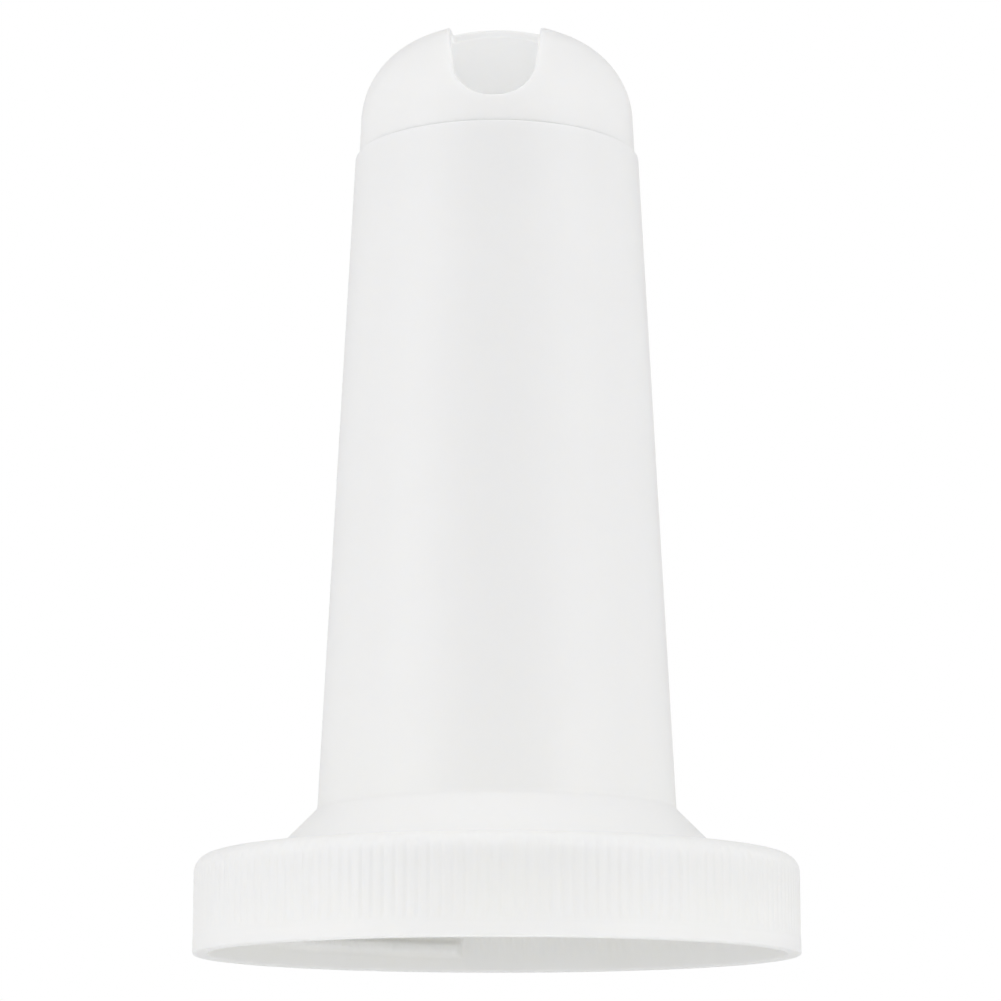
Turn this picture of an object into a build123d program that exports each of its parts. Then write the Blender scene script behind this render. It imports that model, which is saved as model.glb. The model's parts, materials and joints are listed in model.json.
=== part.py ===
from build123d import *
from math import atan2, cos, pi, radians, sin, tan
import os

# Liquor pour spout: a tapered neck that a ribbed screw collar clamps to a wide-mouthed container,
# with a domed pour head pushed into its top. Millimetres, +Z up the neck, the pour notch faces -Y,
# and the origin is on the axis in the plane of the collar's bottom edge.

# Screw collar
collar_radius = 47.0          # plain grip band round the bottom edge
collar_height = 15.2
collar_wall = 2.3
collar_lip = 2.0              # thickness of the inward lip that pulls the neck's flange down
collar_shoulder = 3.0         # rounding of the top outer edge
collar_edge = 0.35            # rounding of the bottom edges and of the lip's hole
band_height = 2.3             # plain band under the ribs
rib_count = 172
rib_relief = 0.05             # the rib crests stand this far inside the band
rib_depth = 0.2
flute_radius = 1.0            # round flute between two ribs

# Thread inside the collar: one start, right-handed, five turns to the inch
thread_pitch = 5.08
thread_turns = 1.0
thread_depth = 1.3
thread_foot = 2.8             # width of the ridge where it leaves the wall
thread_crest = 1.2            # width of its flat crest
thread_start = 98.7           # degrees from +X, where the ridge begins at the mouth
thread_first_height = 3.8     # height of the ridge's middle at its first end
thread_bury = 0.5             # the ridge is rooted this deep in the wall

# Neck
neck_foot_radius = 28.0
cone_angle = 45.0             # degrees from the axis
neck_top_radius = 22.87
neck_top_height = 127.7
neck_wall = 1.6
neck_foot_blend = 1.0         # fillet between tube and cone
neck_rim_edge = 0.3
neck_rim_width = 1.52         # flat rim round the straight socket that takes the pour head's plug
socket_depth = 12.0
flange_land = 5.4             # ring of the flange, outside the cone, that the collar's lip presses on
flange_thickness = 1.9
spigot_wall = 1.5             # low ring under the flange that carries the gasket

# Gasket under the flange
gasket_thickness = 1.6
gasket_squeeze = 0.2          # the gasket stands this far proud of its spigot

# Pour head
head_height = 21.96           # dome above the neck's rim
head_step = 0.53              # the dome's side stands this far inside the neck's
head_side_height = 6.8        # nearly straight side below the rounding
head_draft = 2.8              # degrees
head_knuckle = 13.7           # rounding between side and crown
head_crown_wall = 1.35
head_base_edge = 0.25
head_plug_wall = 1.1

# Pour notch, a drafted U cut from the front of the dome back almost to the axis
notch_half_width = 6.67       # at the top of the rounded bottom, at the front of the dome
notch_bottom = 4.45           # its lowest point, above the neck's rim
notch_radius = 6.37
notch_side_draft = 7.2        # degrees, widening upwards
notch_depth_draft = 2.7       # degrees, narrowing towards the back
notch_back = 1.5              # the cut stops this far in front of the axis
notch_overrun = 2.0           # the cutter starts this far in front of the dome

# Clearances
lip_to_flange = 0.3           # free play of the collar on the flange
lip_to_cone = 0.5
flange_to_thread = 0.4        # the flange passes the thread's crest
plug_to_socket = 0.05         # radial push fit of the pour head
gasket_to_spigot = 0.1        # the gasket slips over its spigot

# Sizes that follow
thread_root = collar_radius - collar_wall
thread_crest_radius = thread_root - thread_depth
lip_underside = collar_height - collar_lip
flange_top = lip_underside - lip_to_flange
flange_bottom = flange_top - flange_thickness
flange_radius = thread_crest_radius - flange_to_thread
cone_base_radius = flange_radius - flange_land
cone_slope = tan(radians(cone_angle))
neck_foot_height = flange_top + (cone_base_radius - neck_foot_radius) / cone_slope
lip_hole_radius = cone_base_radius - (lip_underside - flange_top) * cone_slope + lip_to_cone
gasket_bottom = flange_bottom - gasket_thickness
spigot_bottom = gasket_bottom + gasket_squeeze
cone_wall_width = neck_wall / cos(radians(cone_angle))
spigot_inner_radius = cone_base_radius - cone_wall_width + neck_wall
spigot_outer_radius = spigot_inner_radius + spigot_wall
gasket_inner_radius = spigot_outer_radius + gasket_to_spigot
socket_radius = neck_top_radius - neck_rim_width
head_base_radius = neck_top_radius - head_step
head_plug_radius = socket_radius - plug_to_socket
head_bore_radius = head_plug_radius - head_plug_wall
head_plug_bottom = neck_top_height - socket_depth + lip_to_flange
head_top = neck_top_height + head_height


def revolved(outline):
    """Turn a closed outline, drawn as radius and height, into a solid round the Z axis."""
    return revolve(make_face(outline), Axis.Z)


def at(radius, height):
    """A point of an outline: radius along X, height along Z."""
    return (radius, 0, height)


def edges_at(solid, radius, height, reach=0.05):
    """The circular edges of a solid at one radius and height."""
    rings = solid.edges().filter_by(GeomType.CIRCLE)
    return [
        ring
        for ring in rings
        if abs(ring.radius - radius) < reach and abs(ring.arc_center.Z - height) < reach
    ]


def thread_ridge():
    """The helical ridge, rooted in the collar's wall and cut to a true cylinder at its crest."""
    root = thread_root + thread_bury
    flank = (thread_foot - thread_crest) / 2 / thread_depth
    crest = thread_crest_radius - thread_bury
    half_root = thread_crest / 2 + flank * (root - thread_crest_radius)
    half_crest = thread_crest / 2 - flank * thread_bury
    path = Helix(thread_pitch, thread_pitch * thread_turns, thread_root)
    outline = Polyline(
        at(root, -half_root),
        at(root, half_root),
        at(crest, half_crest),
        at(crest, -half_crest),
        close=True,
    )
    ridge = sweep(make_face(outline), path=path, is_frenet=True)
    ridge = Rot(0, 0, thread_start) * Pos(0, 0, thread_first_height) * ridge
    bore = Cylinder(thread_crest_radius, 3 * collar_height)
    return ridge - bore


def screw_collar():
    """The ribbed ring: band, fluted wall, rounded shoulder, inward lip and thread."""
    crest = collar_radius - rib_relief
    corner = collar_height - collar_shoulder
    turn = collar_shoulder * sin(pi / 4)
    outline = Line(at(thread_root, 0), at(collar_radius, 0))
    outline += Line(at(collar_radius, 0), at(collar_radius, band_height))
    outline += Line(at(collar_radius, band_height), at(crest, band_height))
    outline += Line(at(crest, band_height), at(crest, corner))
    outline += ThreePointArc(
        at(crest, corner),
        at(crest - collar_shoulder + turn, corner + turn),
        at(crest - collar_shoulder, collar_height),
    )
    outline += Line(at(crest - collar_shoulder, collar_height), at(lip_hole_radius, collar_height))
    outline += Line(at(lip_hole_radius, collar_height), at(lip_hole_radius, lip_underside))
    outline += Line(at(lip_hole_radius, lip_underside), at(thread_root, lip_underside))
    outline += Line(at(thread_root, lip_underside), at(thread_root, 0))
    ring = revolved(outline)
    rounded = edges_at(ring, collar_radius, 0) + edges_at(ring, thread_root, 0)
    rounded += edges_at(ring, lip_hole_radius, collar_height)
    rounded += edges_at(ring, lip_hole_radius, lip_underside)
    ring = fillet(rounded, collar_edge)
    flute = Pos(0, 0, band_height) * Cylinder(
        flute_radius, collar_height, align=(Align.CENTER, Align.CENTER, Align.MIN)
    )
    reach = crest - rib_depth + flute_radius
    ring -= PolarLocations(reach, rib_count) * flute
    return ring + thread_ridge()


def neck():
    """The tapered tube, its 45 degree cone, the clamped flange and the gasket's spigot."""
    inner_foot_radius = neck_foot_radius - neck_wall
    inner_foot_height = neck_foot_height - (cone_wall_width - neck_wall) / cone_slope
    spigot_top = inner_foot_height - (spigot_inner_radius - inner_foot_radius) / cone_slope
    outline = Polyline(
        at(spigot_inner_radius, spigot_bottom),
        at(spigot_outer_radius, spigot_bottom),
        at(spigot_outer_radius, flange_bottom),
        at(flange_radius, flange_bottom),
        at(flange_radius, flange_top),
        at(cone_base_radius, flange_top),
        at(neck_foot_radius, neck_foot_height),
        at(neck_top_radius, neck_top_height),
        at(socket_radius, neck_top_height),
        at(socket_radius, neck_top_height - socket_depth),
        at(inner_foot_radius, inner_foot_height),
        at(spigot_inner_radius, spigot_top),
        close=True,
    )
    body = revolved(outline)
    body = fillet(edges_at(body, neck_foot_radius, neck_foot_height), neck_foot_blend)
    return fillet(edges_at(body, neck_top_radius, neck_top_height), neck_rim_edge)


def gasket():
    """The flat sealing ring under the neck's flange."""
    middle = flange_bottom - gasket_thickness / 2
    ring = Cylinder(flange_radius, gasket_thickness)
    ring -= Cylinder(gasket_inner_radius, gasket_thickness)
    return Pos(0, 0, middle) * ring


def dome_arcs(centre, knuckle, lean, apex):
    """A rounding about the centre, from the side's lean on, and the crown that carries it to the apex."""
    radius, height = centre
    rise = apex - height - knuckle
    drop = (radius**2 - rise**2) / (2 * rise)
    crown = knuckle + rise + drop
    meet = atan2(drop, radius)
    middle = (lean + meet) / 2
    half = (meet + pi / 2) / 2
    shared = at(radius + knuckle * cos(meet), height + knuckle * sin(meet))
    rounding = ThreePointArc(
        at(radius + knuckle * cos(lean), height + knuckle * sin(lean)),
        at(radius + knuckle * cos(middle), height + knuckle * sin(middle)),
        shared,
    )
    cap = ThreePointArc(
        shared, at(crown * cos(half), height - drop + crown * sin(half)), at(0, apex)
    )
    return rounding + cap


def notch_outline(back):
    """The notch's U outline in an upright plane this far behind the front of the dome."""
    inset = back * tan(radians(notch_depth_draft))
    half = notch_half_width - inset
    turn = notch_radius - inset
    low = neck_top_height + notch_bottom
    turn_height = low + turn
    over = head_top + head_crown_wall
    top_half = half + (over - turn_height) * tan(radians(notch_side_draft))
    corner = turn * sin(pi / 4)
    flat = half - turn
    y = back - head_base_radius
    outline = Line((-top_half, y, over), (top_half, y, over))
    outline += Line((top_half, y, over), (half, y, turn_height))
    outline += ThreePointArc(
        (half, y, turn_height), (flat + corner, y, turn_height - corner), (flat, y, low)
    )
    outline += Line((flat, y, low), (-flat, y, low))
    outline += ThreePointArc(
        (-flat, y, low), (-flat - corner, y, turn_height - corner), (-half, y, turn_height)
    )
    outline += Line((-half, y, turn_height), (-top_half, y, over))
    return make_face(outline)


def pour_notch():
    """The drafted U that is cut out of the front of the dome."""
    front = notch_outline(-notch_overrun)
    back = notch_outline(head_base_radius - notch_back)
    return loft([front, back])


def pour_head():
    """The domed insert: plug, shoulder on the neck's rim, dome and pour notch."""
    lean = radians(head_draft)
    side_top = neck_top_height + head_side_height
    side_radius = head_base_radius - head_side_height * tan(lean)
    centre = (side_radius - head_knuckle * cos(lean), side_top - head_knuckle * sin(lean))
    inner_knuckle = head_bore_radius - centre[0]
    inner_apex = head_top - head_crown_wall
    outline = dome_arcs(centre, head_knuckle, lean, head_top)
    outline += dome_arcs(centre, inner_knuckle, 0, inner_apex)
    outline += Line(at(0, head_top), at(0, inner_apex))
    outline += Line(at(head_bore_radius, centre[1]), at(head_bore_radius, head_plug_bottom))
    outline += Line(at(head_bore_radius, head_plug_bottom), at(head_plug_radius, head_plug_bottom))
    outline += Line(at(head_plug_radius, head_plug_bottom), at(head_plug_radius, neck_top_height))
    outline += Line(at(head_plug_radius, neck_top_height), at(head_base_radius, neck_top_height))
    outline += Line(at(head_base_radius, neck_top_height), at(side_radius, side_top))
    dome = revolved(outline)
    dome = chamfer(edges_at(dome, head_plug_radius, head_plug_bottom), head_plug_wall / 2)
    dome = fillet(edges_at(dome, head_base_radius, neck_top_height), head_base_edge)
    return dome - pour_notch()


os.makedirs("parts", exist_ok=True)
export_step(screw_collar(), "parts/screw_collar.step")
export_step(neck(), "parts/spout_neck.step")
export_step(gasket(), "parts/gasket.step")
export_step(pour_head(), "parts/pour_head.step")
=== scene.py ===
"""Looks of a liquor pour spout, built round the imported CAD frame.

Metres, +Z up the neck, the pour notch faces -Y. Sizes that the frame doesn't give are fields in
millimetres on the class of the piece they belong to.
"""

import json
import logging
import math
from dataclasses import dataclass, field
from enum import Enum
from typing import Any, Callable

import bpy
import numpy as np
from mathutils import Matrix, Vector


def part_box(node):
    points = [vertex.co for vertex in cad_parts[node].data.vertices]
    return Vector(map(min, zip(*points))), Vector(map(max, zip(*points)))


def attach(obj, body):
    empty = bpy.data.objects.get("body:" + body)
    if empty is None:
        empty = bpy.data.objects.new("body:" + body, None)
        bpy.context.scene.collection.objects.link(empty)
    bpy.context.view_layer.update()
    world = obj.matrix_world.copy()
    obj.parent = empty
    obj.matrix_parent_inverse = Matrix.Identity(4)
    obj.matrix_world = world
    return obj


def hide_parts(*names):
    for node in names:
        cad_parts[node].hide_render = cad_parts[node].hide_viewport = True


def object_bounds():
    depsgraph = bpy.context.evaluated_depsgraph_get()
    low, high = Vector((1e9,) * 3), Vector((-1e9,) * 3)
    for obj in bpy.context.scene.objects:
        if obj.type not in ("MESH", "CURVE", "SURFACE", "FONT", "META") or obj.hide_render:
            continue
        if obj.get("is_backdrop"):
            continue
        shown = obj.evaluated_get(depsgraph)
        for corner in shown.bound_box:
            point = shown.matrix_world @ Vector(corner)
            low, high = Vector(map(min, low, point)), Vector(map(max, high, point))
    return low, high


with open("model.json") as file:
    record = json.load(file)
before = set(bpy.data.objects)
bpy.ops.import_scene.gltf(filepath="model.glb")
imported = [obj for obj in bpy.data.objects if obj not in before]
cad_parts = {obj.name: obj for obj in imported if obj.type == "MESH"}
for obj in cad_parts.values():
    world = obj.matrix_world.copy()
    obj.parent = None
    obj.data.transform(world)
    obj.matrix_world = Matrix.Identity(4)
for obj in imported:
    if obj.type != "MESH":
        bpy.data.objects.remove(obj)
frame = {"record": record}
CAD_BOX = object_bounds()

LOG = logging.getLogger("pour_spout")
MM = 0.001
STRAIGHT_TURN = 0.01  # radians: a corner that turns by less is left as a point
FAR = 1e9  # square millimetres: further than any point of a piece
TINY = 1e-9  # as good as on the axis, or as no slope
NO_LENGTH = 1e-12  # as good as no length


class Body(Enum):
    """The CAD bodies that the pieces ride on."""

    SPOUT = "spout"
    COLLAR = "collar"
    HEAD = "head"


# ---------------------------------------------------------------- outlines and meshes


@dataclass(frozen=True)
class Corner:
    """One corner of a turned outline: radius and height in millimetres, and its rounding."""

    radius: float
    height: float
    rounding: float = 0.0


def rounded_outline(corners: list[Corner], step: float = 6.0, arc_step: float = 11.0) -> np.ndarray:
    """Round the corners of a closed outline and divide its long straights.

    Args:
        corners: the outline's corners, in order.
        step: the longest straight left undivided, in millimetres.
        arc_step: the angle between points on a rounding, in degrees.

    Returns:
        The outline's points as rows of radius and height, in millimetres.
    """
    sharp = np.array([(c.radius, c.height) for c in corners])
    count = len(corners)
    ends: list[np.ndarray] = []
    for i, corner in enumerate(corners):
        here = sharp[i]
        back = sharp[i - 1] - here
        ahead = sharp[(i + 1) % count] - here
        back /= np.linalg.norm(back)
        ahead /= np.linalg.norm(ahead)
        turn = math.pi - math.acos(float(np.clip(back @ ahead, -1, 1)))
        if corner.rounding <= 0 or turn < STRAIGHT_TURN:
            ends.append(here[None])
            continue
        reach = corner.rounding * math.tan(turn / 2)
        middle = back + ahead
        middle /= np.linalg.norm(middle)
        centre = here + middle * corner.rounding / math.cos(turn / 2)
        start = here + back * reach - centre
        pieces = max(2, math.ceil(math.degrees(turn) / arc_step))
        sign = 1 if start[1] * back[0] - start[0] * back[1] > 0 else -1
        angles = np.linspace(0, sign * turn, pieces + 1)
        turned = np.stack(
            [
                start[0] * np.cos(angles) - start[1] * np.sin(angles),
                start[0] * np.sin(angles) + start[1] * np.cos(angles),
            ],
            -1,
        )
        ends.append(centre + turned)
    points: list[np.ndarray] = []
    for i, run in enumerate(ends):
        points.extend(run)
        gap = ends[(i + 1) % count][0] - run[-1]
        parts = math.ceil(float(np.linalg.norm(gap)) / step)
        points.extend(run[-1] + gap * k / parts for k in range(1, parts))
    return np.array(points)


def grid_faces(rows: int, columns: int) -> np.ndarray:
    """Make the quads of a grid that closes on itself both ways.

    Args:
        rows: how many rings of points there are.
        columns: how many points each ring has.

    Returns:
        The quads, as rows of point numbers.
    """
    row, column = np.meshgrid(np.arange(rows), np.arange(columns), indexing="ij")
    up = (row + 1) % rows
    along = (column + 1) % columns
    quads = [row * columns + column, row * columns + along, up * columns + along, up * columns + column]
    return np.stack(quads, -1).reshape(-1, 4)


def outward(vertices: np.ndarray, faces: np.ndarray) -> np.ndarray:
    """Turn the faces of a closed mesh over if its volume comes out negative.

    Args:
        vertices: the mesh's points.
        faces: its quads, as rows of point numbers.

    Returns:
        The quads, facing outward.
    """
    volume = 0.0
    for a, b, c in ((0, 1, 2), (0, 2, 3)):
        one, two, three = (vertices[faces[:, k]] for k in (a, b, c))
        volume += float(np.einsum("ij,ij->i", one, np.cross(two, three)).sum())
    return faces if volume > 0 else faces[:, ::-1]


def mesh_piece(name: str, vertices: np.ndarray, faces: np.ndarray) -> bpy.types.Object:
    """Make a smooth-shaded object.

    Args:
        name: the piece's name.
        vertices: points in millimetres.
        faces: quads as rows of point numbers.

    Returns:
        The object, linked to the scene.
    """
    mesh = bpy.data.meshes.new(name)
    mesh.from_pydata((vertices * MM).tolist(), [], outward(vertices, faces).tolist())
    mesh.validate()
    mesh.shade_smooth()
    piece = bpy.data.objects.new(name, mesh)
    bpy.context.scene.collection.objects.link(piece)
    return piece


def turned_piece(name: str, outline: np.ndarray, columns: int) -> bpy.types.Object:
    """Turn a closed outline round the Z axis into a piece of quads.

    Args:
        name: the piece's name.
        outline: points as rows of radius and height, in millimetres.
        columns: how many points go round the axis.

    Returns:
        The object, linked to the scene.
    """
    angle = np.arange(columns) * 2 * math.pi / columns
    radius, height = outline[:, :1], outline[:, 1:]
    vertices = np.stack(
        [radius * np.cos(angle), radius * np.sin(angle), height + 0 * angle], -1
    ).reshape(-1, 3)
    return mesh_piece(name, vertices, grid_faces(len(outline), columns))


# ---------------------------------------------------------------- finishes


def linear(hex_colour: str) -> tuple[float, float, float, float]:
    """Turn an sRGB hex colour into linear values.

    Args:
        hex_colour: six hex digits after a hash.

    Returns:
        Linear red, green and blue, and an alpha of one.
    """
    values = [int(hex_colour[i : i + 2], 16) / 255 for i in (1, 3, 5)]
    red, green, blue = (v / 12.92 if v <= 0.04045 else ((v + 0.055) / 1.055) ** 2.4 for v in values)
    return red, green, blue, 1.0


def add_node(
    tree: bpy.types.NodeTree, kind: str, links: dict[str, Any] | None = None, **settings: Any
) -> bpy.types.Node:
    """Add a shader node.

    Args:
        tree: the material's node tree.
        kind: the node's type name.
        links: input name or number to a value, or to the output socket that feeds it.
        settings: attributes of the node.

    Returns:
        The node.
    """
    node = tree.nodes.new(kind)
    for name, value in settings.items():
        setattr(node, name, value)
    for key, value in (links or {}).items():
        if isinstance(value, bpy.types.NodeSocket):
            tree.links.new(value, node.inputs[key])
        else:
            node.inputs[key].default_value = value
    return node


@dataclass(frozen=True)
class MouldedPolypropylene:
    """Injection-moulded polypropylene: milky, waxy, lit from within, with a fine spark-eroded grain."""

    name: str
    colour: str
    deep_colour: str
    roughness: float = 0.42
    roughness_swing: float = 0.05
    ior: float = 1.49
    subsurface_depth_mm: float = 1.0
    subsurface_tint: tuple[float, float, float] = (1.0, 0.98, 0.94)
    grain_mm: float = 0.22
    grain_height_mm: float = 0.006
    grain_strength: float = 0.5
    grain_detail: float = 2.0
    grain_roughness: float = 0.6
    cloud_mm: float = 14.0
    cloud_detail: float = 3.0
    cloud_roughness: float = 0.55
    cloud_low: float = 0.3
    cloud_high: float = 0.7

    def material(self) -> bpy.types.Material:
        """Build the material: clouded milky colour, mould grain and a soft waxy gloss.

        Returns:
            The material.
        """
        made = bpy.data.materials.new(self.name)
        made.use_nodes = True
        tree = made.node_tree
        tree.nodes.clear()
        place = add_node(tree, "ShaderNodeTexCoord").outputs["Object"]
        # slow clouds where the melt cooled unevenly
        cloud = add_node(
            tree,
            "ShaderNodeTexNoise",
            {
                "Vector": place,
                "Scale": 1 / (self.cloud_mm * MM),
                "Detail": self.cloud_detail,
                "Roughness": self.cloud_roughness,
            },
        ).outputs["Fac"]
        tint = add_node(
            tree,
            "ShaderNodeMix",
            {"Factor": cloud, "A": linear(self.colour), "B": linear(self.deep_colour)},
            data_type="RGBA",
        )
        # grain left by the spark-eroded mould
        grain = add_node(
            tree,
            "ShaderNodeTexNoise",
            {
                "Vector": place,
                "Scale": 1 / (self.grain_mm * MM),
                "Detail": self.grain_detail,
                "Roughness": self.grain_roughness,
            },
        ).outputs["Fac"]
        bump = add_node(
            tree,
            "ShaderNodeBump",
            {"Height": grain, "Strength": self.grain_strength, "Distance": self.grain_height_mm * MM},
        )
        gloss = add_node(
            tree,
            "ShaderNodeMapRange",
            {
                "Value": cloud,
                "From Min": self.cloud_low,
                "From Max": self.cloud_high,
                "To Min": self.roughness - self.roughness_swing,
                "To Max": self.roughness + self.roughness_swing,
            },
        )
        shader = add_node(
            tree,
            "ShaderNodeBsdfPrincipled",
            {
                "Base Color": tint.outputs["Result"],
                "Roughness": gloss.outputs["Result"],
                "Normal": bump.outputs["Normal"],
                "IOR": self.ior,
                "Subsurface Weight": 1.0,
                "Subsurface Radius": self.subsurface_tint,
                "Subsurface Scale": self.subsurface_depth_mm * MM,
            },
        )
        add_node(tree, "ShaderNodeOutputMaterial", {"Surface": shader.outputs["BSDF"]})
        return made


@dataclass(frozen=True)
class SiliconeRubber:
    """Moulded silicone sealing ring: milky, soft-looking, nearly matt."""

    name: str
    colour: str
    roughness: float = 0.6
    ior: float = 1.41
    grain_mm: float = 0.5
    grain_height_mm: float = 0.01
    grain_strength: float = 0.4
    subsurface_weight: float = 0.6
    subsurface_depth_mm: float = 1.0
    subsurface_tint: tuple[float, float, float] = (1.0, 0.95, 0.9)

    def material(self) -> bpy.types.Material:
        """Build the material: milky rubber with a soft mould grain.

        Returns:
            The material.
        """
        made = bpy.data.materials.new(self.name)
        made.use_nodes = True
        tree = made.node_tree
        tree.nodes.clear()
        place = add_node(tree, "ShaderNodeTexCoord").outputs["Object"]
        grain = add_node(
            tree, "ShaderNodeTexNoise", {"Vector": place, "Scale": 1 / (self.grain_mm * MM)}
        ).outputs["Fac"]
        bump = add_node(
            tree,
            "ShaderNodeBump",
            {"Height": grain, "Strength": self.grain_strength, "Distance": self.grain_height_mm * MM},
        )
        shader = add_node(
            tree,
            "ShaderNodeBsdfPrincipled",
            {
                "Base Color": linear(self.colour),
                "Roughness": self.roughness,
                "Normal": bump.outputs["Normal"],
                "IOR": self.ior,
                "Subsurface Weight": self.subsurface_weight,
                "Subsurface Radius": self.subsurface_tint,
                "Subsurface Scale": self.subsurface_depth_mm * MM,
            },
        )
        add_node(tree, "ShaderNodeOutputMaterial", {"Surface": shader.outputs["BSDF"]})
        return made


# a clean neutral white that shades off softly round the tube, with no hard highlight
NECK_FINISH = MouldedPolypropylene("neutral_white_polypropylene", "#F8F8F8", "#F5F6F6")
# the same white, so that only the step tells the head from the neck
HEAD_FINISH = MouldedPolypropylene("head_white_polypropylene", "#F8F8F8", "#F5F6F6")
# a little warmer, more matt and deeper lit, which sets the collar off and keeps its ribs faint
COLLAR_FINISH = MouldedPolypropylene(
    "warm_white_polypropylene", "#FFFFF7", "#FDFDF3", roughness=0.46, subsurface_depth_mm=2.0
)
# greyer and nearly matt, so that the seal reads as rubber where it can be seen
GASKET_FINISH = SiliconeRubber("milky_silicone_rubber", "#DEDEDA")


def dress(
    piece: bpy.types.Object, material: bpy.types.Material, body: Body, node: str
) -> None:
    """Give a piece its material and its body, and hide the CAD node it stands for.

    Args:
        piece: the object to dress.
        material: its finish.
        body: the CAD body that it rides on.
        node: the CAD node that it takes the place of.
    """
    piece.data.materials.clear()
    piece.data.materials.append(material)
    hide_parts(node)
    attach(piece, body.value)
    LOG.info("%s: %d faces on body %s", piece.name, len(piece.data.polygons), body.value)


# ---------------------------------------------------------------- pieces


def box_mm(node: str) -> tuple[Vector, Vector]:
    """The lowest and highest corners of a CAD node, in millimetres."""
    low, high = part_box(node)
    return low / MM, high / MM


@dataclass
class ScrewCollar:
    """The ribbed ring: plain band, fluted wall, rounded shoulder, inward lip and thread ridge."""

    wall: float = 2.3
    lip: float = 2.0  # thickness of the inward lip
    lip_rounding: float = 0.5  # where the lip meets the wall inside
    shoulder: float = 2.7
    band_height: float = 2.3
    band_fade: float = 0.3  # half the height over which the band steps in to the ribs
    band_rounding: float = 0.8
    rib_count: int = 172
    rib_relief: float = 0.05  # how far the ribs' crests lie inside the band
    rib_depth: float = 0.1
    flute_radius: float = 1.0
    flute_ramp: float = 1.2  # height over which the flutes run in above the band
    points_per_rib: int = 8
    hole_radius: float = 37.8
    edge: float = 0.35
    thread_pitch: float = 5.08
    thread_turns: float = 1.0
    thread_foot: float = 2.8  # width of the ridge at the wall
    thread_crest: float = 1.2
    thread_start: float = 98.7  # degrees round the axis
    thread_first_height: float = 3.8
    thread_end_slope: float = 1.1
    thread_soften: float = 0.6
    row_step: float = 0.3
    arc_step: float = 6.0
    radius: float = field(init=False)
    height: float = field(init=False)
    crest_radius: float = field(init=False)

    def __post_init__(self) -> None:
        """Read the ring's size from its CAD node, and the thread's from the record's mount."""
        low, high = box_mm("screw_collar")
        self.radius = high.x
        self.height = high.z
        mounts = {m["name"]: m for m in frame["record"]["mounts"]}
        self.crest_radius = mounts["container_thread"]["dims"]["r_mm"]

    def outline(self) -> np.ndarray:
        """Draw the ring's closed outline, without flutes or thread.

        Returns:
            Points as rows of radius and height, in millimetres.
        """
        root = self.radius - self.wall
        crest = self.radius - self.rib_relief
        under = self.height - self.lip
        return rounded_outline(
            [
                Corner(root, 0.0, self.edge),
                Corner(self.radius, 0.0, self.edge),
                Corner(self.radius, self.band_height - self.band_fade, self.band_rounding),
                Corner(crest, self.band_height + self.band_fade, self.band_rounding),
                Corner(crest, self.height, self.shoulder),
                Corner(self.hole_radius, self.height, self.edge),
                Corner(self.hole_radius, under, self.edge),
                Corner(root, under, self.lip_rounding),
            ],
            step=self.row_step,
            arc_step=self.arc_step,
        )

    def flute(self, angle: np.ndarray) -> np.ndarray:
        """Give the radius of the fluted wall, before the crests are cut to their radius.

        Args:
            angle: angles round the axis, in radians.

        Returns:
            The wall's radius at each angle, in millimetres.
        """
        pitch = 2 * math.pi / self.rib_count
        offset = (angle + pitch / 2) % pitch - pitch / 2
        centre = self.radius - self.rib_relief - self.rib_depth + self.flute_radius
        across = np.minimum(np.abs(centre * np.sin(offset)), self.flute_radius)
        return centre * np.cos(offset) - np.sqrt(self.flute_radius**2 - across**2)

    def ridge(self, angle: np.ndarray, height: np.ndarray) -> np.ndarray:
        """Give how far the thread stands in from the wall.

        Args:
            angle: angles round the axis, in radians.
            height: heights, in millimetres.

        Returns:
            The ridge's depth at each angle and height, in millimetres.
        """
        depth = self.radius - self.wall - self.crest_radius
        slope = depth / ((self.thread_foot - self.thread_crest) / 2)
        turn = ((np.degrees(angle) - self.thread_start) % 360) / 360
        middle = self.thread_first_height + self.thread_pitch * turn
        from_end = np.minimum(turn, self.thread_turns - turn) * 2 * math.pi * self.crest_radius
        flank = (self.thread_foot / 2 - np.abs(height - middle)) * slope
        blunt = from_end * self.thread_end_slope
        steep = np.minimum(flank, blunt)
        over = np.clip(steep / depth, 0, 1)
        return depth * over * (1 + self.thread_soften * (1 - over) * over)

    def ring(self) -> bpy.types.Object:
        """Make the ring, with flutes that run out through the shoulder and the thread inside.

        Returns:
            The ring's object.
        """
        outline = self.outline()
        root = self.radius - self.wall
        columns = self.rib_count * self.points_per_rib
        angle = np.arange(columns) * 2 * math.pi / columns
        radius = np.repeat(outline[:, :1], columns, 1)
        height = np.repeat(outline[:, 1:], columns, 1)
        outer = outline[:, 0] > self.radius - self.rib_relief - self.shoulder
        rise = np.clip((outline[:, 1] - self.band_height) / self.flute_ramp, 0, 1)
        fall = np.clip((self.height - outline[:, 1]) / self.shoulder, 0, 1)
        ramp = np.where(outer, rise * np.sqrt(fall), 0)[:, None]
        cut = np.maximum(self.radius - self.rib_relief - self.flute(angle), 0)
        radius = radius - ramp * cut[None]
        inner = (outline[:, 0] < root + self.edge)[:, None] & (height < self.height - self.lip)
        radius = radius - np.where(inner, self.ridge(angle[None], height), 0)
        vertices = np.stack([radius * np.cos(angle), radius * np.sin(angle), height], -1)
        return mesh_piece("screw_collar_ring", vertices.reshape(-1, 3), grid_faces(len(outline), columns))

    def build(self) -> None:
        """Make and dress the ring."""
        dress(self.ring(), COLLAR_FINISH.material(), Body.COLLAR, "screw_collar")


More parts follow.
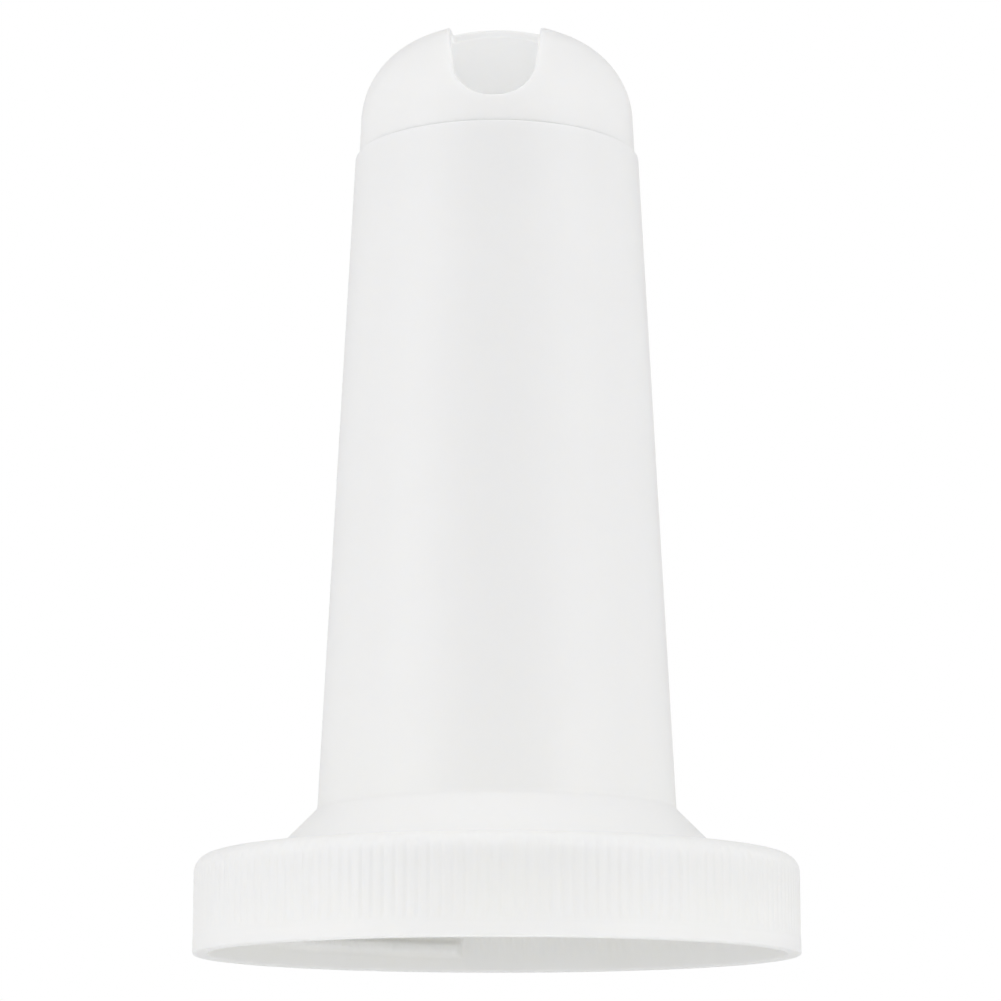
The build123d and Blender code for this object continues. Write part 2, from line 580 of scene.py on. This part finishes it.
@dataclass
class SpoutNeck:
    """The tapered tube on its cone, with the clamped flange and the gasket's spigot."""

    foot_radius: float = 28.0
    top_radius: float = 22.87
    wall: float = 1.6
    rim_width: float = 1.52
    socket_depth: float = 12.0
    flange_thickness: float = 1.9
    flange_land: float = 5.4  # the flange's ring outside the cone
    spigot_wall: float = 1.5
    columns: int = 384
    row_step: float = 4.0
    arc_step: float = 9.0

    def outline(self) -> np.ndarray:
        """Draw the neck's closed outline: spigot, flange, cone, tube, rim and socket.

        Returns:
            Points as rows of radius and height, in millimetres.
        """
        low, high = box_mm("spout_neck")
        flange_radius = high.x
        flange_bottom = box_mm("gasket")[1].z
        flange_top = flange_bottom + self.flange_thickness
        cone_base = flange_radius - self.flange_land
        foot_height = flange_top + cone_base - self.foot_radius
        cone_wall = self.wall * math.sqrt(2)
        spigot_inner = cone_base - cone_wall + self.wall
        inner_foot = self.foot_radius - self.wall
        inner_foot_height = foot_height - cone_wall + self.wall
        socket = self.top_radius - self.rim_width
        return rounded_outline(
            [
                Corner(spigot_inner, low.z, rounding=0.5),
                Corner(spigot_inner + self.spigot_wall, low.z, rounding=0.5),
                Corner(spigot_inner + self.spigot_wall, flange_bottom, rounding=0.1),
                Corner(flange_radius, flange_bottom, rounding=0.3),
                Corner(flange_radius, flange_top, rounding=0.4),
                Corner(cone_base, flange_top, rounding=0.8),
                Corner(self.foot_radius, foot_height, rounding=1.2),
                Corner(self.top_radius, high.z, rounding=0.2),
                Corner(socket, high.z, rounding=0.3),
                Corner(socket, high.z - self.socket_depth, rounding=0.5),
                Corner(inner_foot, inner_foot_height, rounding=2.0),
                Corner(spigot_inner, inner_foot_height - spigot_inner + inner_foot, rounding=1.0),
            ],
            step=self.row_step,
            arc_step=self.arc_step,
        )

    def build(self) -> None:
        """Make and dress the neck."""
        piece = turned_piece("spout_neck_tube", self.outline(), self.columns)
        dress(piece, NECK_FINISH.material(), Body.SPOUT, "spout_neck")


@dataclass
class Gasket:
    """The flat sealing ring under the flange."""

    inner_radius: float = 38.54
    edge: float = 0.3
    columns: int = 256

    def build(self) -> None:
        """Make and dress the ring."""
        low, high = box_mm("gasket")
        outline = rounded_outline(
            [
                Corner(self.inner_radius, low.z, self.edge),
                Corner(high.x, low.z, self.edge),
                Corner(high.x, high.z, self.edge),
                Corner(self.inner_radius, high.z, self.edge),
            ]
        )
        piece = turned_piece("gasket_ring", outline, self.columns)
        dress(piece, GASKET_FINISH.material(), Body.SPOUT, "gasket")


@dataclass
class PourHead:
    """The domed insert: plug, shoulder, dome and pour notch, meshed from its distance field."""

    base_radius: float = 22.34
    side_height: float = 6.8
    draft: float = 2.8  # degrees that the dome's side leans in
    knuckle: float = 13.7  # rounding between the side and the crown
    crown_wall: float = 1.35
    plug_wall: float = 1.1
    plug_radius: float = 21.3
    shoulder_bevel: float = 0.15  # also the bevel inside the plug's mouth
    shoulder_inset: float = 0.04
    lead_in: float = 0.6  # height of the taper at the plug's foot
    lead_in_inset: float = 0.5
    notch_half_width: float = 6.67
    notch_bottom: float = 4.45  # above the neck's rim
    notch_radius: float = 6.37
    notch_side_draft: float = 7.2  # degrees that the notch opens upward
    notch_depth_draft: float = 2.7  # degrees that it narrows inward
    notch_back: float = 1.5  # how far the notch's back stands in front of the axis
    edge: float = 0.35
    cell: float = 0.3
    block_margin: float = 1.0
    table_spacing: float = 0.1
    table_margin: float = 2.0
    arc_points: int = 40

    def outline(self) -> np.ndarray:
        """Draw the head's closed outline: out over the dome, down the plug and back up inside.

        Returns:
            Points as rows of radius and height, in millimetres.
        """
        low, high = box_mm("pour_head")
        rim = box_mm("spout_neck")[1].z
        lean = math.radians(self.draft)
        side_radius = self.base_radius - self.side_height * math.tan(lean)
        centre = np.array(
            [
                side_radius - self.knuckle * math.cos(lean),
                rim + self.side_height - self.knuckle * math.sin(lean),
            ]
        )
        bore = self.plug_radius - self.plug_wall
        outer = self.dome(centre, self.knuckle, lean, high.z)
        inner = self.dome(centre, bore - centre[0], 0.0, high.z - self.crown_wall)
        plug = [
            (self.base_radius - self.shoulder_inset, rim + self.shoulder_bevel),
            (self.base_radius - self.shoulder_bevel, rim),
            (self.plug_radius, rim),
            (self.plug_radius, low.z + self.lead_in),
            (self.plug_radius - self.lead_in_inset, low.z),
            (bore + self.shoulder_bevel, low.z),
            (bore, low.z + self.shoulder_bevel),
        ]
        return np.concatenate([outer[::-1], plug, inner])

    def dome(self, centre: np.ndarray, knuckle: float, lean: float, apex: float) -> np.ndarray:
        """Draw a dome from its side up over the rounding and the crown to the axis.

        Args:
            centre: radius and height of the rounding's centre.
            knuckle: the rounding's radius.
            lean: the side's lean from upright, in radians.
            apex: the dome's height on the axis.

        Returns:
            Points as rows of radius and height, in millimetres.
        """
        rise = apex - centre[1] - knuckle
        drop = (centre[0] ** 2 - rise**2) / (2 * rise)
        crown = knuckle + rise + drop
        meet = math.atan2(drop, centre[0])
        low = np.linspace(lean, meet, self.arc_points)
        high = np.linspace(meet, math.pi / 2, self.arc_points)[1:]
        rounding = centre + knuckle * np.stack([np.cos(low), np.sin(low)], -1)
        cap = np.array([0, centre[1] - drop]) + crown * np.stack([np.cos(high), np.sin(high)], -1)
        return np.concatenate([rounding, cap])

    def shell_distance(self) -> Callable[[np.ndarray, np.ndarray], np.ndarray]:
        """Work out a table of the distance to the turned shell.

        Returns:
            A function that gives the signed distance from radius and height.
        """
        points = self.outline()
        spacing = self.table_spacing
        low = points.min(0) - self.table_margin
        counts = np.ceil((points.max(0) + self.table_margin - low) / spacing).astype(int)
        radius = low[0] + spacing * np.arange(counts[0])
        height = low[1] + spacing * np.arange(counts[1])
        r, z = np.meshgrid(np.abs(radius), height, indexing="ij")
        nearest = np.full(r.shape, FAR)
        inside = np.zeros(r.shape, bool)
        for (r0, z0), (r1, z1) in zip(points, np.roll(points, -1, 0)):
            run, rise = r1 - r0, z1 - z0
            length = run * run + rise * rise
            if length < NO_LENGTH:
                continue
            along = np.clip(((r - r0) * run + (z - z0) * rise) / length, 0, 1)
            if max(abs(r0), abs(r1)) > TINY:
                gap = (r - r0 - along * run) ** 2 + (z - z0 - along * rise) ** 2
                nearest = np.minimum(nearest, gap)
            crosses = (z0 > z) != (z1 > z)
            if abs(rise) > NO_LENGTH:
                inside ^= crosses & (r < r0 + (z - z0) * run / rise)
        table = np.where(inside, -1, 1) * np.sqrt(nearest)
        last = counts - 1.001  # just short of the last point, so that a point ahead is always there

        def distance(at_radius: np.ndarray, at_height: np.ndarray) -> np.ndarray:
            """Read the table between its points.

            Args:
                at_radius: radii, in millimetres.
                at_height: heights, in millimetres.

            Returns:
                The signed distance at each.
            """
            u = np.clip((at_radius - low[0]) / spacing, 0, last[0])
            v = np.clip((at_height - low[1]) / spacing, 0, last[1])
            i, j = u.astype(int), v.astype(int)
            u, v = u - i, v - j
            below = table[i, j] * (1 - u) + table[i + 1, j] * u
            above = table[i, j + 1] * (1 - u) + table[i + 1, j + 1] * u
            return below * (1 - v) + above * v

        return distance

    def notch_distance(self, place: np.ndarray) -> np.ndarray:
        """Give the signed distance to the notch's drafted U.

        Args:
            place: points as rows of x, y and z, in millimetres.

        Returns:
            The distance at each point, negative inside the notch.
        """
        x, y, z = np.abs(place[..., 0]), place[..., 1], place[..., 2]
        inset = (y + self.base_radius) * math.tan(math.radians(self.notch_depth_draft))
        half = self.notch_half_width - inset
        turn = self.notch_radius - inset
        turn_height = box_mm("spout_neck")[1].z + self.notch_bottom + turn
        side = math.radians(self.notch_side_draft)
        straight = (x - half - (z - turn_height) * math.tan(side)) * math.cos(side)
        bowl = np.hypot(np.maximum(x - half + turn, 0), turn_height - z) - turn
        across = np.where(z > turn_height, straight, bowl)
        back = y + self.notch_back
        return round_union(across, back, self.edge)

    def build(self) -> None:
        """Mesh the head and dress it."""
        shell = self.shell_distance()

        def distance(place: np.ndarray) -> np.ndarray:
            """Give the signed distance to the notched head.

            Args:
                place: points as rows of x, y and z, in millimetres.

            Returns:
                The distance at each point.
            """
            radius = np.hypot(place[..., 0], place[..., 1])
            solid = shell(radius, place[..., 2])
            return round_union(solid, -self.notch_distance(place), self.edge)

        low, high = box_mm("pour_head")
        vertices, faces = surface_net(
            distance, np.array(low) - self.block_margin, np.array(high) + self.block_margin, self.cell
        )
        piece = mesh_piece("pour_head_dome", vertices, faces)
        dress(piece, HEAD_FINISH.material(), Body.HEAD, "pour_head")


def round_union(one: np.ndarray, other: np.ndarray, radius: float) -> np.ndarray:
    """Join two distances as their larger, with the edge between them rounded.

    Args:
        one: signed distances to the first shape.
        other: signed distances to the second.
        radius: the rounding.

    Returns:
        The joined distances.
    """
    over = np.hypot(np.maximum(one + radius, 0), np.maximum(other + radius, 0)) - radius
    near_edge = (one > -radius) & (other > -radius)
    return np.where(near_edge, over, np.maximum(one, other))


def surface_net(
    distance: Callable[[np.ndarray], np.ndarray],
    low: np.ndarray,
    high: np.ndarray,
    cell: float,
    passes: int = 4,
    nudge: float = 0.02,
) -> tuple[np.ndarray, np.ndarray]:
    """Mesh the zero surface of a distance field with quads, then draw its points on to it.

    Args:
        distance: signed distance at points given as rows of x, y and z.
        low: lowest corner of the block to mesh.
        high: highest corner.
        cell: the size of a cell.
        passes: how many times the points are drawn on to the surface.
        nudge: the step either way over which the field's slope is taken.

    Returns:
        The points and the quads.
    """
    counts = np.ceil((high - low) / cell).astype(int) + 1
    axes = [low[k] + cell * np.arange(counts[k]) for k in range(3)]
    value = np.empty(counts)
    for i, x in enumerate(axes[0]):
        y, z = np.meshgrid(axes[1], axes[2], indexing="ij")
        value[i] = distance(np.stack([np.full(y.shape, x), y, z], -1))
    solid = value < 0
    corners = [(i, j, k) for i in (0, 1) for j in (0, 1) for k in (0, 1)]
    span = counts - 1

    def part(grid: np.ndarray, corner: tuple[int, int, int]) -> np.ndarray:
        """Take the grid as seen from one corner of every cell.

        Args:
            grid: values at the block's points.
            corner: the corner, as zero or one along each axis.

        Returns:
            That corner's value for every cell.
        """
        i, j, k = corner
        return grid[i : i + span[0], j : j + span[1], k : k + span[2]]

    full = sum(part(solid, c).astype(int) for c in corners)
    mixed = (full > 0) & (full < len(corners))
    found = int(mixed.sum())
    number = np.full(span, -1)
    number[mixed] = np.arange(found)
    total = np.zeros((found, 3))
    hits = np.zeros(found)
    for a in corners:
        for axis in range(3):
            if a[axis]:
                continue
            b = tuple(1 if k == axis else a[k] for k in range(3))
            one, two = part(value, a)[mixed], part(value, b)[mixed]
            crossed = (one < 0) != (two < 0)
            share = np.where(crossed, one / np.where(crossed, one - two, 1), 0)
            spot = np.tile(np.array(a, float), (len(one), 1))
            spot[:, axis] += share
            total += spot * crossed[:, None]
            hits += crossed
    place = low + cell * (np.argwhere(mixed) + total / hits[:, None])
    for _ in range(passes):
        slope = np.stack(
            [distance(place + step) - distance(place - step) for step in nudge * np.eye(3)], -1
        )
        slope /= np.maximum(np.linalg.norm(slope, axis=1, keepdims=True), TINY)
        place = place - np.clip(distance(place), -cell, cell)[:, None] * slope
    quads = []
    for axis in range(3):
        first, second = [k for k in range(3) if k != axis]
        here = [slice(1, span[k]) for k in range(3)]
        here[axis] = slice(0, span[axis])
        ahead = list(here)
        ahead[axis] = slice(1, span[axis] + 1)
        start, end = solid[tuple(here)], solid[tuple(ahead)]
        crossed = np.argwhere(start != end)
        enters = end[tuple(crossed.T)]
        base = crossed.copy()
        base[:, first] += 1
        base[:, second] += 1
        ring = []
        for da, db in ((0, 0), (-1, 0), (-1, -1), (0, -1)):
            index = base.copy()
            index[:, first] += da
            index[:, second] += db
            ring.append(number[tuple(index.T)])
        ring = np.stack(ring, -1)
        flip = enters if axis != 1 else ~enters
        ring[flip] = ring[flip][:, ::-1]
        quads.append(ring)
    return place, np.concatenate(quads)


# ---------------------------------------------------------------- stage


@dataclass(frozen=True)
class AreaLight:
    """One rectangular light, in metres and watts; with no aim it faces the model's middle."""

    name: str
    place: tuple[float, float, float]
    size: tuple[float, float]
    power: float
    aim: tuple[float, float, float] | None = None


LIGHTS = (
    # the broad soft sheen down each flank of the neck
    AreaLight("soft_box_left", (-0.8, -0.55, 0.25), (0.7, 1.0), 3.1),
    AreaLight("soft_box_right", (0.8, -0.55, 0.25), (0.7, 1.0), 2.9),
    # stands for the light that bounces about in the bore and fills the notch
    AreaLight("fill_inside", (0, 0, 0.119), (0.024, 0.024), 0.00305, aim=(0, 0, 0.2)),
    # stands for the light that reaches the collar's inside through its walls and off the floor
    AreaLight("fill_under", (0, -0.03, -0.042), (0.05, 0.05), 0.0058, aim=(0, 0.01, 0.006)),
    # a weak one overhead for the crown
    AreaLight("soft_box_top", (0.0, 0.1, 1.0), (0.9, 0.9), 0.3),
)


@dataclass
class Studio:
    """Pale floor, white surround, three soft boxes, two small fill lights and the camera."""

    floor_height: float = -0.05
    floor_size: float = 8.0
    floor_colour: str = "#F4F4F4"
    floor_roughness: float = 0.9
    camera_distance: float = 0.531
    camera_height: float = -0.0318
    camera_pitch: float = 11.045  # degrees up
    camera_azimuth: float = 1.3  # degrees round to the right
    aim_right: float = 0.00057  # how far the aim passes the axis
    lens: float = 122.5
    nearest_seen: float = 0.01
    tent_strength: float = 0.8
    tent_at_lens: float = 0.2
    tent_behind: float = 0.6
    lens_gap: float = -0.55  # where the tent is back at full strength, going away from the lens
    behind_from: float = 0.1
    behind_to: float = 0.9

    def floor(self) -> None:
        """A wide pale floor, lower than the camera, so that the collar is seen from below."""
        half = self.floor_size / 2
        corners = [(-half, -half, 0), (half, -half, 0), (half, half, 0), (-half, half, 0)]
        mesh = bpy.data.meshes.new("studio_floor")
        mesh.from_pydata(corners, [], [(0, 1, 2, 3)])
        floor = bpy.data.objects.new("studio_floor", mesh)
        floor.location.z = self.floor_height
        bpy.context.scene.collection.objects.link(floor)
        paint = bpy.data.materials.new("pale_floor")
        paint.use_nodes = True
        shader = paint.node_tree.nodes["Principled BSDF"]
        shader.inputs["Base Color"].default_value = linear(self.floor_colour)
        shader.inputs["Roughness"].default_value = self.floor_roughness
        mesh.materials.append(paint)
        floor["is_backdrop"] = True

    def surround(self) -> None:
        """A white surround to the eye, and a light tent to the object: dim round the lens and behind."""
        world = bpy.data.worlds.new("white_surround")
        bpy.context.scene.world = world
        world.use_nodes = True
        tree = world.node_tree
        tree.nodes.clear()
        way = add_node(tree, "ShaderNodeTexCoord").outputs["Generated"]
        split = add_node(tree, "ShaderNodeSeparateXYZ", {"Vector": way})
        front = add_node(
            tree,
            "ShaderNodeMapRange",
            {
                "Value": split.outputs["Y"],
                "From Min": -1.0,
                "From Max": self.lens_gap,
                "To Min": self.tent_at_lens,
                "To Max": self.tent_strength,
            },
            interpolation_type="SMOOTHSTEP",
        )
        behind = add_node(
            tree,
            "ShaderNodeMapRange",
            {
                "Value": split.outputs["Y"],
                "From Min": self.behind_from,
                "From Max": self.behind_to,
                "To Min": 1.0,
                "To Max": self.tent_behind,
            },
            interpolation_type="SMOOTHSTEP",
        )
        tent = add_node(
            tree,
            "ShaderNodeMath",
            {0: front.outputs["Result"], 1: behind.outputs["Result"]},
            operation="MULTIPLY",
        )
        seen = add_node(tree, "ShaderNodeBackground", {"Color": (1, 1, 1, 1), "Strength": 1.0})
        lighting = add_node(
            tree, "ShaderNodeBackground", {"Color": (1, 1, 1, 1), "Strength": tent.outputs[0]}
        )
        eye = add_node(tree, "ShaderNodeLightPath").outputs["Is Camera Ray"]
        mix = add_node(
            tree,
            "ShaderNodeMixShader",
            {0: eye, 1: lighting.outputs[0], 2: seen.outputs[0]},
        )
        add_node(tree, "ShaderNodeOutputWorld", {"Surface": mix.outputs[0]})

    def lights(self) -> None:
        """Three soft boxes round the object and two weak fills inside it, none seen by the camera."""
        middle = (CAD_BOX[0] + CAD_BOX[1]) / 2
        for lamp in LIGHTS:
            data = bpy.data.lights.new(lamp.name, "AREA")
            data.shape = "RECTANGLE"
            data.size, data.size_y = lamp.size
            data.energy = lamp.power
            light = bpy.data.objects.new(lamp.name, data)
            place = Vector(lamp.place)
            aim = Vector(lamp.aim) if lamp.aim else middle
            light.location = place
            light.rotation_euler = (aim - place).to_track_quat("-Z", "Y").to_euler()
            light.visible_camera = False
            bpy.context.scene.collection.objects.link(light)

    def camera(self) -> None:
        """The camera, a little below the collar and looking slightly up."""
        data = bpy.data.cameras.new("camera")
        data.lens = self.lens
        data.clip_start = self.nearest_seen
        camera = bpy.data.objects.new("camera", data)
        around = math.radians(self.camera_azimuth)
        yaw = around + math.atan2(-self.aim_right, self.camera_distance)
        camera.location = (
            self.camera_distance * math.sin(around),
            -self.camera_distance * math.cos(around),
            self.camera_height,
        )
        camera.rotation_euler = (math.radians(90 + self.camera_pitch), 0.0, yaw)
        bpy.context.scene.collection.objects.link(camera)
        bpy.context.scene.camera = camera

    def build(self) -> None:
        """Set up the floor, surround, lights and camera."""
        self.floor()
        self.surround()
        self.lights()
        self.camera()
        bpy.context.scene.view_settings.view_transform = "Standard"


def write_sizes() -> None:
    """Work out the CAD model's box and the visual model's box; nothing is kept."""
    boxes = {"cad": CAD_BOX, "visual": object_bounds()}
    {name: [list(corner) for corner in box] for name, box in boxes.items()}


def main() -> None:
    """Build the stage, then each piece from the foot up."""
    logging.basicConfig(level=logging.INFO, format="%(message)s")
    Studio().build()
    for piece in (ScrewCollar(), Gasket(), SpoutNeck(), PourHead()):
        LOG.info("building %s", type(piece).__name__)
        piece.build()
    write_sizes()


if __name__ == "__main__":
    main()
